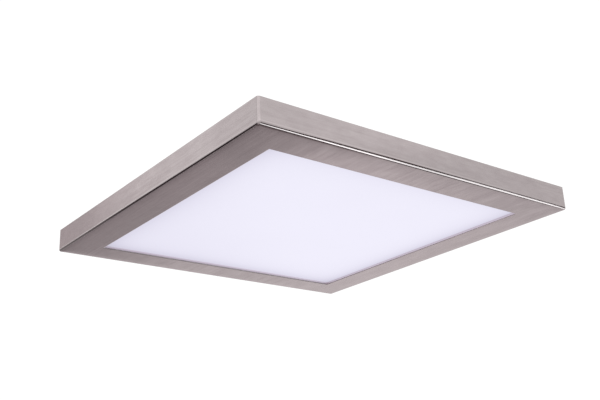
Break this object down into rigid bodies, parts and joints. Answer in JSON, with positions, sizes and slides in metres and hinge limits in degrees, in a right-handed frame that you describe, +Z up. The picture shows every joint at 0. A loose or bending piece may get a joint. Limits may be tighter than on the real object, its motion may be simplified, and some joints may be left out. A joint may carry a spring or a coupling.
{
  "type": "square surface-mounted led downlight",
  "caption": "Thin square surface-mounted ceiling light: brushed nickel frame round a lit opal panel, snapped onto a ceiling bracket by leaf springs.",
  "frame": {"origin": "middle of the ceiling bracket's top face, on the ceiling plane", "axes": "+Z up into the ceiling, X along the bracket and its box-screw slots, the lamp's face looks down -Z"},
  "size_m": [0.3, 0.3, 0.0192],
  "materials": {
    "brushed_nickel": "brushed",
    "opal_acrylic": "satin",
    "clear_acrylic": "gloss",
    "white_film": "matte",
    "black_foam": "matte",
    "white_foam": "matte",
    "aluminium_rail": "satin",
    "white_board": "satin",
    "led_package": "gloss",
    "white_powder_coat": "satin",
    "zinc_steel": "satin",
    "spring_steel": "satin",
    "plated_screw": "satin",
    "green_screw": "gloss",
    "driver_plastic": "matte",
    "circuit_board": "satin",
    "ferrite": "matte",
    "capacitor_sleeve": "gloss",
    "film_capacitor_yellow": "satin",
    "moulded_black": "matte",
    "terminal_nylon": "satin",
    "button_orange": "satin",
    "contact_brass": "satin",
    "tinned_copper": "satin",
    "wire_red": "satin",
    "wire_black": "satin",
    "wire_white": "satin",
    "wire_green_yellow": "satin",
    "black_rubber": "matte",
    "clip_nylon": "satin"
  },
  "bodies": {
    "ceiling_bracket": {"mounting_bracket": "zinc_steel", "spring_clips": "spring_steel", "clip_rivets": "plated_screw", "ground_screw": "green_screw"},
    "lamp": {"trim_frame": "brushed_nickel", "weld_studs": "plated_screw", "lens_gasket": "black_foam", "diffuser": "opal_acrylic", "light_guide": "clear_acrylic", "reflector_sheet": "white_film", "foam_pad": "white_foam", "led_rail_left": "aluminium_rail", "led_rail_right": "aluminium_rail", "spacer_rail_front": "aluminium_rail", "spacer_rail_rear": "aluminium_rail", "led_board_left": "white_board", "led_board_right": "white_board", "led_chips_left": "led_package", "led_chips_right": "led_package", "board_connectors": "terminal_nylon", "back_plate": "white_powder_coat", "flange_nuts": "plated_screw", "driver_base": "driver_plastic", "driver_cover": "driver_plastic", "driver_board": "circuit_board", "driver_transformer": "ferrite", "driver_capacitors": "capacitor_sleeve", "driver_film_capacitor": "film_capacitor_yellow", "driver_choke": "ferrite", "driver_semiconductors": "moulded_black", "driver_fuse": "moulded_black", "driver_screws": "plated_screw", "terminal_body": "terminal_nylon", "terminal_contacts": "contact_brass", "terminal_screws": "plated_screw", "led_wires_positive": "wire_red", "led_wires_negative": "wire_black", "line_wire": "wire_black", "neutral_wire": "wire_white", "earth_wire": "wire_green_yellow", "earth_ring": "tinned_copper", "earth_screw": "plated_screw", "wire_grommets": "black_rubber", "wire_clips": "clip_nylon", "catch_brackets": "zinc_steel", "catch_rivets": "plated_screw"},
    "earth_button": {"release_button_earth": "button_orange"},
    "neutral_button": {"release_button_neutral": "button_orange"},
    "line_button": {"release_button_line": "button_orange"}
  },
  "joints": [
    {"name": "lamp_pull_down", "type": "slide", "parent": "ceiling_bracket", "child": "lamp", "axis": [0, 0, -1], "range_m": [0, 0.06], "deforming": ["spring_clips"]},
    {"name": "earth_release", "type": "slide", "parent": "lamp", "child": "earth_button", "axis": [0, 0, -1], "range_m": [0, 0.001], "stiffness_N_per_m": 800},
    {"name": "neutral_release", "type": "slide", "parent": "lamp", "child": "neutral_button", "axis": [0, 0, -1], "range_m": [0, 0.001], "stiffness_N_per_m": 800},
    {"name": "line_release", "type": "slide", "parent": "lamp", "child": "line_button", "axis": [0, 0, -1], "range_m": [0, 0.001], "stiffness_N_per_m": 800}
  ]
}
